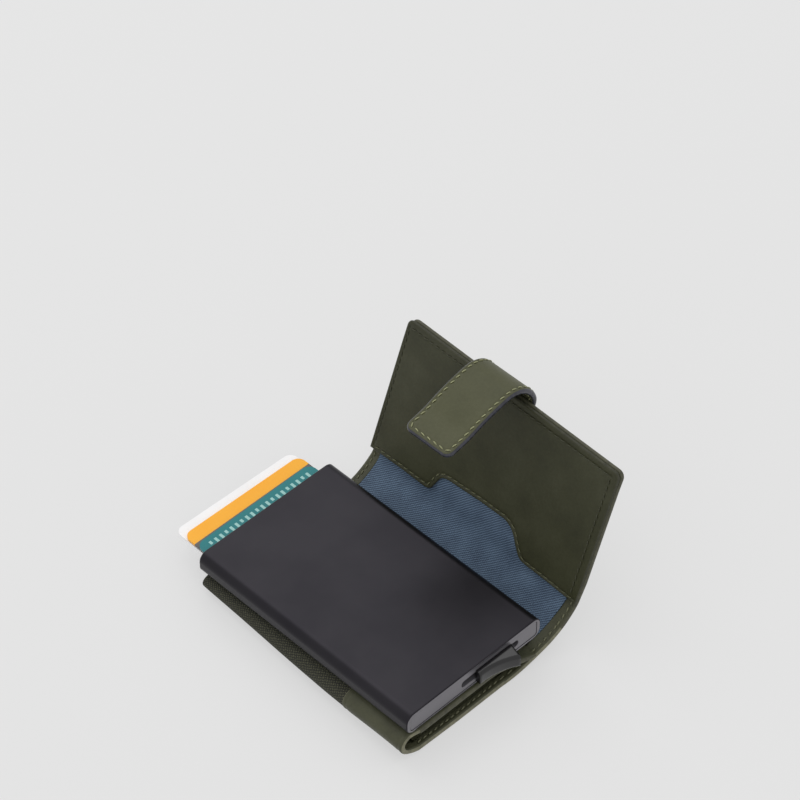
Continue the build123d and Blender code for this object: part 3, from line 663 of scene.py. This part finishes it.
AT_NEAR = (LOW_NEAR, -8, 13, JOIN_NEAR, 3.3, HINGE_NEAR, lean(HINGE_NEAR, 68.9, 53.05))
AT_FAR = (LOW_FAR, -4, 22, JOIN_FAR, 0.2, HINGE_FAR, lean(HINGE_FAR, 68.6, 55.5))
wallet = Course.through(
    wallet_section(*AT_NEAR), wallet_section(*AT_FAR),
    (0, 0, -0.05, 0, -0.096, 0), (0, 0, -0.01, 0, -0.096, 0),
    lifted=wallet_section(*AT_NEAR, lift=RISE),
)
W_BELLY, W_JOIN, W_SPINE, W_FLAP, W_TOP = wallet.marks[2:]
W_MID = (W_SPINE + W_FLAP) / 2
W_STRAIGHT = W_FLAP + 8


def carrier_section(join):
    """The leather that carries the case: level to its knee, then down to the seam"""
    end = (join[0], join[1] + 2 * LEATHER + CLOTH + 2 * GLUE)
    knee = (8.0, TOP)
    return [(SIDE, TOP), knee, ((knee[0] + end[0]) / 2, (knee[1] + end[1]) / 2), end]


CARRIER_BULGES = (0, 0.04, -0.04)
carrier = Course.through(carrier_section(JOIN_NEAR), carrier_section(JOIN_FAR),
                         CARRIER_BULGES, CARRIER_BULGES)
C_SLOPE, C_END = carrier.marks[2:]


def fold_section(low, out, drop, foot_up=0.0, edge_up=0.0, lower_up=0.0):
    """The pocket's left side: out from under the case, down round its edge and back in.
    The last three lift its foot, its edge and its lower shoulder"""
    edge = TOP - drop
    upper = (SIDE - out * SHOULDER_OUT, TOP - drop * SHOULDER_DROP)
    lower = (SIDE - out * SHOULDER_OUT, low + (edge - low) * SHOULDER_DROP + lower_up)
    return [(SIDE, TOP), upper, (SIDE - out, edge + edge_up), lower, (SIDE, low + foot_up)]


FOLD_BULGES = (-0.045, -0.14, -0.12, -0.06)
fold = Course.through(
    fold_section(LOW_NEAR, 8.7, 5.8), fold_section(LOW_FAR, 6.4, 2.7), FOLD_BULGES, FOLD_BULGES,
    ease=0.8, lifted=fold_section(LOW_NEAR, 7.8, 5.8, RISE, 0.9, 1.6),
)

# The strap starts on the back of the CAD's flap, and its nodes count from its first bend
CAD_LEAN = 68.5
CAD_FLAP_TOP = lean((50.3, 2.4), CAD_LEAN, 53.7)
root = lean(CAD_FLAP_TOP, CAD_LEAN - 90, STRAP_THICK)
bend = lean(root, CAD_LEAN, 1.2)
STRAP_NODES = [lean(root, CAD_LEAN, -18.0), bend]
for run, rise in ((5.2, 8.6), (12.6, 11.0), (32.6, 4.65), (42.7, 2.2)):
    STRAP_NODES.append((bend[0] - run, bend[1] + rise))
STRAP_BULGES = (0, -0.1, -0.07, -0.035, 0)
strap = Course.through(STRAP_NODES, STRAP_NODES, STRAP_BULGES, STRAP_BULGES, ease=1.6)
S_RISE, S_CROWN, S_SIDE, S_TIP, S_END = strap.marks[1:]

# Cloth on the inner side: down the slope beside the case, over the spine and up the flap
CLOTH_RUNS = (
    (carrier, C_SLOPE - 1.5, C_END - 2.0, GLUE + CLOTH / 2),
    (wallet, W_SPINE + 2.0, W_FLAP - 1.0, LEATHER + GLUE + CLOTH / 2),
    (wallet, W_FLAP + 3.0, W_FLAP + 16.0, LEATHER + BOARD_THICK + CLOTH / 2),
)
cloth_ends = [
    np.vstack([course.at(np.arange(first, last, STEP), y, offset)[:, [0, 2]]
               for course, first, last, offset in CLOTH_RUNS]) for y in (NEAR, FAR)
]


def evened(line, count):
    """A line's points spread evenly along it"""
    run = run_of(line)
    at = np.linspace(0, run[-1], count)
    return np.stack([np.interp(at, run, line[:, k]) for k in (0, 1)], -1)


CLOTH_COUNT = round(run_of(cloth_ends[0])[-1] / STEP)
cloth = Course(*[evened(line, CLOTH_COUNT) for line in cloth_ends], ease=1.2)
CLOTH_MID = cloth.length * 0.53


def uneven(scale, size, seed):
    """Gentle unevenness of sheets laid by hand"""
    rng = np.random.default_rng(seed)
    waves = [(rng.uniform(-1, 1, 2) / scale, rng.uniform(0, 6.28)) for _ in range(5)]

    def height(s, y):
        return size * sum(np.sin(s * w[0] + y * w[1] + p) for w, p in waves) / 3
    return height


# ---------------------------------------- wallet leather

HEM_WIDE = 3.3  # near hem, and the hem at the flap's free edge
near_hem, far_hem = NEAR + HEM_WIDE, FAR_EDGE - 4.0
HEM_LINE, OUTER_LINE = 1.9, 2.8  # seams of the inner and the outer side, from the edge
DRAWN_TO = -30.0  # Y up to which columns are moved to follow the near edge
HEM_STITCH = {"pitch": 2.85, "length": 1.8, "width": 0.6}
OUTER_STITCH = {"pitch": 3.5, "length": 2.5, "width": 0.5}


def edge_at(s):
    """The near edge: drawn in under the pocket, and out a little along the flap"""
    return NEAR + np.interp(s, [W_BELLY, W_JOIN, W_FLAP, W_STRAIGHT], [0.9, 0, 0, -0.5])


def hem_at(s):
    """Place of the near hem's inner line"""
    marks = [W_BELLY, W_SPINE, W_MID, W_FLAP, W_STRAIGHT]
    return edge_at(s) + np.interp(s, marks, [3.0, 5.2, 4.8, 3.9, 3.4])


def drawn(s, y):
    """Columns near the near end moved so that the outermost and the hem's follow their lines"""
    a, b = edge_at(s), hem_at(s)
    first = a + (y - NEAR) / (near_hem - NEAR) * (b - a)
    second = b + (y - near_hem) / (DRAWN_TO - near_hem) * (DRAWN_TO - b)
    return s, np.where(y < near_hem, first, np.where(y < DRAWN_TO, second, y))


def by_top(s):
    """Grows from 0 to 1 towards the flap's free edge"""
    return np.clip((s - (W_TOP - 8)) / 5, 0, 1)


def hemmed(s, y):
    """Inner side of the outer leather: turned over along both ends and the flap's free edge"""
    over_flap = CLOTH + BOARD_THICK - 0.55 * by_top(s)
    over_spine = 1.0 - 0.42 * np.clip((s - W_SPINE) / (W_MID - W_SPINE), 0, 1)
    hem = LEATHER + np.where(s > W_FLAP + 1, over_flap, over_spine)
    turned_over = (y < hem_at(s) + 1e-6) | (y > far_hem - 1e-6) | (s > W_TOP - HEM_WIDE)
    return np.where(turned_over, hem, LEATHER)


def hem_columns(*seams):
    """Columns of the outer leather, close together at the hems and the seams"""
    steps = (near_hem, near_hem + 0.05, far_hem, far_hem - 0.05)
    return ticks(NEAR, FAR_EDGE, 1.6, *steps, FAR_EDGE - HEM_LINE, *seams, spread=(0.05, 0.4, 0.8))


def hem_seams(first, near_last, far_last):
    """Seams beside the near and the far edge of the outer leather"""
    beside_near = [(s, edge_at(s) + HEM_LINE) for s in np.linspace(first, near_last, 40)]
    return [beside_near, [(first, FAR_EDGE - HEM_LINE), (far_last, FAR_EDGE - HEM_LINE)]]


def sewn(*seams):
    """Grooves and stitches of seams that are given as side, lines and style"""
    return {
        "grooves": [(side, line) for side, lines, _ in seams for line in lines],
        "stitches": [(side, line, style) for side, lines, style in seams for line in lines],
    }


outer_base = sheet_piece(
    "wallet_base_leather", wallet, ticks(0, W_MID, 1.5, W_MID - 0.1, spread=(0.1, 0.3)),
    hem_columns(NEAR + 1.3), 0.0, hemmed, [OLIVE, OLIVE, HEM, THREAD_HEM],
    closed="nf", edge=0.42, shape=drawn, **sewn((1, hem_seams(1.0, W_MID, W_MID), HEM_STITCH)),
)
outer_near, outer_far, outer_top = NEAR + OUTER_LINE, FAR_EDGE - OUTER_LINE, W_TOP - OUTER_LINE
outer_seam = [(W_FLAP + 2, outer_near), (outer_top, outer_near),
              (outer_top, outer_far), (W_FLAP + 2, outer_far)]
outer_flap = sheet_piece(
    "wallet_flap_leather", wallet,
    ticks(W_MID, W_TOP, 1.6, W_MID + 0.1, W_TOP - HEM_WIDE - 0.05, outer_top,
          spread=(0.1, 0.3, 0.7)),
    hem_columns(NEAR + 1.7, outer_near, outer_far),
    0.0, hemmed, [OLIVE, OLIVE, TOP_HEM, THREAD_HEM], closed="enf", edge=0.42,
    shape=lambda s, y: drawn(*round_ends(s, y, W_TOP, NEAR, FAR_EDGE, 2.6)),
    **sewn((1, hem_seams(W_MID, W_FLAP + 2, W_FLAP + 3), HEM_STITCH),
           (-1, [outer_seam], OUTER_STITCH)),
)

# Folds: their reach before and after a mark, and the level of their axis. The flap's ends where
# the pocket panel begins, so that nothing comes up through the panel
SPINE_FOLD, FLAP_FOLD = (5.0, 5.0, 0.65), (5.5, 1.5, 1.2)
LINING_FOLD, STRAP_FOLD = (4.5, 4.5, 0.0), (4.4, 4.4, STRAP_THICK / 2)


def blended(piece, course, a, b, mark, before, after, level):
    """A piece with its place baked into its mesh. The points at both ends of its stretch are found
    but not used
    """
    start, end = [Vector(place(course.at(mark + d, 0.0, level))) for d in (-before, after)]
    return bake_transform(piece)


blended(outer_base, wallet, "holder", "spine", W_SPINE, *SPINE_FOLD)
blended(outer_flap, wallet, "spine", "flap", W_FLAP, *FLAP_FOLD)
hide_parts("pocket_lower_leather")
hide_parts("spine_leather", "flap_leather")


def carrier_low(s, y):
    """Outer side of the leather that carries the case, turned under along both ends"""
    return -LEATHER - 0.9 * ((y < near_hem - 0.2) | (y > far_hem + 0.2))


def carrier_high(s, y):
    """Its inner side, thinned towards the seam"""
    return -0.85 * smooth((s - (C_END - 6.5)) / 6.5)


carrier_piece = sheet_piece(
    "carrier_leather", carrier, ticks(0, C_END, 1.2),
    ticks(NEAR, FAR_EDGE, 2.0, near_hem - 0.2, far_hem + 0.2, spread=(0.05, 0.4)),
    carrier_low, carrier_high, [OLIVE, OLIVE, TOP_HEM, THREAD_OLIVE], closed="enf", edge=0.5,
)
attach(carrier_piece, "holder")
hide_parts("pocket_carrier_leather")

# Leather tab and woven gusset that close the pocket's left side
TAB_NEAR, TAB_FAR, TAB_HEM = NEAR + 1.4, NEAR + 29.5, 3.1
tab_seams = (TAB_FAR - 1.6, TAB_NEAR + 2.0)


def near_moved(y, edge, line):
    """Columns moved so that the one at the edge follows a line, less and less up to DRAWN_TO"""
    return y + (line - edge) * np.clip((DRAWN_TO - y) / (DRAWN_TO - edge), 0, 1)


def along_fold(s, inset, start, middle, end):
    """Values at both ends of the fold, and one that holds between, inset from both ends"""
    marks = [0, inset, fold.length - inset, fold.length]
    return np.interp(s, marks, [start, middle, middle, end])


def tab_edge(s):
    """The tab's near edge is set back between the two leathers that it joins"""
    return NEAR + along_fold(s, 4, 0.3, 1.3, 0.9)


def tab_high(s, y):
    hem = along_fold(s, 5, 2.2, 1.9, 2.55)
    return np.where(y < tab_edge(s) + TAB_HEM, hem, along_fold(s, 5, 1.3, 1.0, 1.3))


def tab_low(s, y):
    """Proud of the gusset along the side, and flush where it goes under the case and the pocket"""
    return -0.15 * np.clip((fold.length - 1 - s) / 5, 0, 1) * np.clip(s / 3, 0, 1)


tab = sheet_piece(
    "pocket_side_tab", fold, ticks(0, fold.length, 0.6),
    ticks(TAB_NEAR, TAB_FAR, 1.4, *tab_seams, TAB_NEAR + TAB_HEM, spread=(0.05, 0.3)),
    tab_low, tab_high, [OLIVE, OLIVE, HEM, THREAD_HEM], closed="nf", edge=0.4, rim=1.0,
    shape=lambda s, y: (s, near_moved(y, TAB_NEAR, tab_edge(s))),
    grooves=[(-1, [(1.0, y), (fold.length - 1, y)]) for y in tab_seams], wave=uneven(7, 0.1, 3),
)
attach(tab, "holder")
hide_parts("pocket_tab")
gusset = sheet_piece(
    "woven_gusset", fold, ticks(0, fold.length, 0.6), ticks(TAB_FAR - 2.0, FAR_EDGE + 0.2, 1.6),
    0.0, 0.9, [CANVAS, CANVAS, CANVAS, THREAD_OLIVE], closed="senf", wave=uneven(5, 0.12, 5),
)
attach(gusset, "holder")
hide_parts("pocket_gusset")

# ---------------------------------------- cloth
CLOTH_LOW, CLOTH_HIGH = NEAR + 4.6, far_hem - 0.1
at_spine = float(np.interp(SPINE + 0.6, cloth.near[:, 0], cloth.arc))
at_flap = float(np.interp(49.2, cloth.near[:, 0], cloth.arc))


def cloth_drawn(s, y):
    """The lining's near edge follows the hem's inner line"""
    marks = [0, at_spine, CLOTH_MID, at_flap, at_flap + 8]
    hem = [hem_at(W_SPINE) - 0.4, *map(hem_at, (W_SPINE, W_MID, W_FLAP, W_STRAIGHT))]
    return s, near_moved(y, CLOTH_LOW, 0.1 + np.interp(s, marks, hem))


def lining(name, first, last, beside_mid, closed):
    """One of the two pieces of cloth that meet in the middle of the spine"""
    return sheet_piece(
        name, cloth, ticks(first, last, 1.2, beside_mid, spread=(0.1, 0.3)),
        ticks(CLOTH_LOW, CLOTH_HIGH, 2.4), -CLOTH / 2, CLOTH / 2, [BLUE] * 4, closed=closed,
        shape=cloth_drawn, wave=uneven(9, 0.06, 8),
    )


lining_spine = lining("lining_beside_case", 0, CLOTH_MID, CLOTH_MID - 0.1, "snf")
lining_flap = lining("lining_under_flap", CLOTH_MID, cloth.length, CLOTH_MID + 0.1, "enf")
blended(lining_spine, cloth, "holder", "spine", at_spine, *LINING_FOLD)
blended(lining_flap, wallet, "spine", "flap", W_FLAP, *FLAP_FOLD)
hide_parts("base_lining", "spine_lining")
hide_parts("flap_lining")
lining_pocket = sheet_piece(
    "lining_in_pocket", wallet, ticks(0.4, W_BELLY, 3.0), ticks(CLOTH_LOW - 0.6, CLOTH_HIGH, 3.0),
    LEATHER + GLUE, LEATHER + CLOTH, [OLIVE] * 4,
)
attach(lining_pocket, "holder")
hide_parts("pocket_lining")

# ---------------------------------------- flap's pocket panel
# Its lower edge as (y, s) from the flap's fold, then spaced closely with its corners rounded off
NOTCH = [
    (-60.0, -1.3), (-50.0, -0.8), (-38.0, -0.1), (-28.2, 0.2), (-25.6, 0.5), (-24.2, 1.5),
    (-21.5, 4.9), (-19.4, 8.0), (-17.3, 9.9), (-14.5, 10.95), (-3.0, 10.8), (12.4, 9.95),
    (14.9, 9.4), (16.3, 8.2), (17.2, 6.2), (18.2, 3.6), (19.3, 2.1), (21.0, 1.7),
    (33.0, 1.9), (46.0, 1.6), (60.0, 1.5),
]
NOTCH_STEP = 0.2
notch = np.array(NOTCH)
pieces = [np.linspace(a, b, max(2, int(np.hypot(*(b - a)) / NOTCH_STEP)), endpoint=False)
          for a, b in zip(notch, notch[1:])]
lower_edge = smoothed(np.vstack(pieces), 16, NOTCH_STEP, 0.7)
PANEL_NEAR, PANEL_FAR, PANEL_TOP = NEAR - 0.3, FAR_EDGE + 0.35, W_TOP - 0.2
PANEL_BED = LEATHER + CLOTH + BOARD_THICK


def panel_shape(s, y):
    """Rows of the panel fanned out between its notched lower edge and its top"""
    s, y = round_ends(s, y, PANEL_TOP, PANEL_NEAR, PANEL_FAR, 2.4)
    share = (s - W_FLAP) / (PANEL_TOP - W_FLAP)
    low = W_FLAP + np.interp(y, lower_edge[:, 0], lower_edge[:, 1])
    return low + share * (PANEL_TOP - low), y


def panel_low(s, y):
    """The panel lies on the lining, and a narrow gap shows between it and the leather at the top"""
    return PANEL_BED + 0.02 - 0.3 * by_top(s)


def inset_line(y_low, y_high, inset):
    """Line that follows the notched edge at a distance inside it"""
    way = np.gradient(lower_edge, axis=0)
    way /= np.hypot(*way.T)[:, None]
    moved = lower_edge + np.stack([-way[:, 1], way[:, 0]], -1) * inset
    kept = (moved[:, 0] > y_low) & (moved[:, 0] < y_high)
    return [(W_FLAP + s, y) for y, s in moved[kept][::2]]


seam_near, seam_far, seam_top = PANEL_NEAR + 3.2, PANEL_FAR - 1.5, PANEL_TOP - 2.6
panel_seams = [
    [(W_FLAP + 1.6, seam_near), (seam_top, seam_near)],
    [(seam_top, seam_near), (seam_top, seam_far)],
    [(W_FLAP + 4.0, seam_far), (seam_top, seam_far)],
]
notch_seam = inset_line(PANEL_NEAR + 1.2, PANEL_FAR - 1.2, 1.6)
PANEL_STITCH = {"pitch": 2.85, "length": 2.0, "width": 0.4, "slot": 4}
NOTCH_STITCH = {"pitch": 2.85, "length": 1.9, "width": 0.45}
panel = sheet_piece(
    "flap_panel_leather", wallet,
    W_FLAP + ticks(0, PANEL_TOP - W_FLAP, 1.5, 1.6, seam_top - W_FLAP, spread=(0.3, 0.6, 1.1)),
    ticks(PANEL_NEAR, PANEL_FAR, 1.4, *[y for y, _ in NOTCH[1:-1]], seam_near, seam_far,
          spread=(0.35, 0.7, 1.1)),
    panel_low, PANEL_BED + 1.05, [PANEL, OLIVE, RIM, THREAD_PANEL, THREAD_FLUSH],
    shape=panel_shape, edge=0.26, groove=0.2, wave=uneven(14, 0.1, 11),
    **sewn((1, panel_seams, PANEL_STITCH), (1, [notch_seam], NOTCH_STITCH)),
)
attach(panel, "flap")
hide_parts("flap_pocket_panel")

# ---------------------------------------- strap
ST_LOW, ST_HIGH = -8.6, 13.2
ST_IN, ST_CORNER = 1.8, 1.6
seam_low, seam_high = ST_LOW + ST_IN, ST_HIGH - ST_IN
mid_rise = (S_RISE + S_CROWN) / 2
mid_side = (S_SIDE + S_TIP) / 2
strap_columns = ticks(ST_LOW, ST_HIGH, 1.2, seam_low, seam_high, spread=(0.3, 0.6, 1.0))


def skewed(s, y):
    """The strap leaves its root a little askew and narrows towards its tip"""
    t = np.clip((s - S_RISE) / (S_END - S_RISE), 0, 1)
    return s, 0.75 * t + y * (1 - 0.035 * t)


def strap_seams(first, last, closed):
    """Seams along both edges of a part, across its closed start or round its closed end"""
    begin = first + (ST_IN if "s" in closed else 0)
    if "e" in closed:
        stop, r = last - ST_IN, ST_CORNER
        turn = [(stop - r + r * math.sin(a), seam_low + r - r * math.cos(a))
                for a in np.linspace(0, math.pi / 2, 9)]
        back = [(s, ST_LOW + ST_HIGH - y) for s, y in reversed(turn)]
        seams = [[(begin, seam_low), *turn, *back, (begin, seam_high)]]
    else:
        seams = [[(begin, y), (last, y)] for y in (seam_low, seam_high)]
        if "s" in closed:
            seams.append([(begin, seam_low), (begin, seam_high)])
    return [[skewed(*spot) for spot in evened(np.array(seam), 80)] for seam in seams]


def strap_part(name, first, last, closed, bodies, mark, nodes):
    """A part of the strap that stands for CAD nodes, which it hides"""
    tip = "e" in closed

    def shape(s, y):
        return skewed(*round_ends(s, y, S_END, ST_LOW, ST_HIGH, 3.3) if tip else (s, y))
    rows = ticks(first, last, 0.9, *([last - ST_IN] if tip else []), spread=(0.3, 0.6, 1.0))
    seams = strap_seams(first, last, closed)
    style = {"pitch": 2.85, "length": 1.9, "width": 0.5}
    piece = sheet_piece(
        name, strap, rows, strap_columns, 0.0, STRAP_THICK, [OLIVE, STRAP, NAVY, THREAD_LIGHT],
        closed=closed, shape=shape, edge=0.5, rim=1.1,
        **sewn(*[(side, seams, {**style, "slant": -12 * side}) for side in (-1, 1)]),
    )
    blended(piece, strap, *bodies, mark, *STRAP_FOLD)
    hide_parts(*nodes)


strap_part("strap_root_part", 0, mid_rise, "snf", ("flap", "strap_rise"), S_RISE,
           ["strap_root_face", "strap_root_backing", "strap_rise_face", "strap_rise_backing"])
strap_part("strap_crown_part", mid_rise, mid_side, "nf", ("strap_rise", "strap_side"), S_CROWN,
           ["strap_side_face", "strap_side_backing"])
strap_part("strap_end_part", mid_side, S_END, "enf", ("strap_side", "strap_tip"), S_TIP,
           ["strap_tip_face", "strap_tip_backing"])

# ---------------------------------------- table, light and camera
# The floor is a hair lower than the table's level, so that the leather on it doesn't flicker
REACH, FLOOR = 6, -0.00003
PAPER_DARK, PAPER = (0.775,) * 3, (0.79,) * 3
SEEN, MIRRORED = 0.68, 0.8

floor_mesh = bpy.data.meshes.new("table")
corners = [(-REACH, -REACH), (REACH, -REACH), (REACH, REACH), (-REACH, REACH)]
floor_mesh.from_pydata([(*corner, FLOOR) for corner in corners], [], [(0, 1, 2, 3)])
floor = linked("table", floor_mesh)
material, tree, shader, source = nodes_of("table_paper", "Object")
paper = ramp(tree, noise(tree, source, 3.0, 2.0), (0.3, PAPER_DARK), (0.7, PAPER))
tree.links.new(paper, shader.inputs["Base Color"])
shader.inputs["Roughness"].default_value = 0.9
shader.inputs["Specular IOR Level"].default_value = 0.0
# The paper is seen and mirrored as a lighter backdrop that keeps a share of its shadow
rays = tree.nodes.new("ShaderNodeLightPath").outputs
sharp = maths(tree, "MAXIMUM", rays["Is Glossy Ray"], rays["Is Transmission Ray"])
share = maths(tree, "MAXIMUM", times(tree, rays["Is Camera Ray"], SEEN),
              times(tree, sharp, MIRRORED))
backdrop = node(tree, "ShaderNodeEmission", {"Color": (*PAPER, 1), "Strength": 1.0})
blend = node(tree, "ShaderNodeMixShader", {0: share, 1: shader.outputs[0], 2: backdrop.outputs[0]})
tree.links.new(blend.outputs[0], tree.nodes["Material Output"].inputs["Surface"])
floor_mesh.materials.append(material)

world = bpy.data.worlds.new("studio")
bpy.context.scene.world = world
world.use_nodes = True
surroundings = world.node_tree.nodes["Background"].inputs
surroundings["Color"].default_value = (1.0, 1.0, 1.0, 1)
surroundings["Strength"].default_value = 0.8

# One round soft box behind the object, in metres and watts, aimed at the origin
light = bpy.data.lights.new("softbox", "AREA")
light.shape, light.size, light.energy = "DISK", 2.0, 10.5
lamp = linked("softbox", light)
lamp.location = (0.35, 1.3, 1.5)
lamp.rotation_mode = "QUATERNION"
lamp.rotation_quaternion = (-Vector(lamp.location)).to_track_quat("-Z", "Y")

# The photograph's camera: angles and place in the case's frame, focal length in pixels
AZIMUTH, ELEVATION, ROLL = map(math.radians, (-44.53, 45.60, -0.17))
EYE = (-507.304, -531.238, 848.317)
FOCAL, PICTURE, SENSOR = 3303.8, 800, 36.0

flat, tall = math.cos(ELEVATION), math.sin(ELEVATION)
back = np.array([math.sin(AZIMUTH) * flat, -math.cos(AZIMUTH) * flat, tall])
right = np.array([math.cos(AZIMUTH), math.sin(AZIMUTH), 0.0])
up = np.cross(back, right)
right, up = (right * math.cos(ROLL) + up * math.sin(ROLL),
             up * math.cos(ROLL) - right * math.sin(ROLL))
lens = bpy.data.cameras.new("camera")
lens.sensor_width = SENSOR
lens.lens = SENSOR * FOCAL / PICTURE
lens.clip_start, lens.clip_end = 0.05, 30.0
camera = linked("camera", lens)
axes = Matrix([turned(right), turned(up), turned(back)]).transposed()
camera.matrix_world = Matrix.Translation(Vector(place(EYE))) @ axes.to_4x4()
bpy.context.scene.camera = camera
bpy.context.scene.view_settings.view_transform = "Standard"
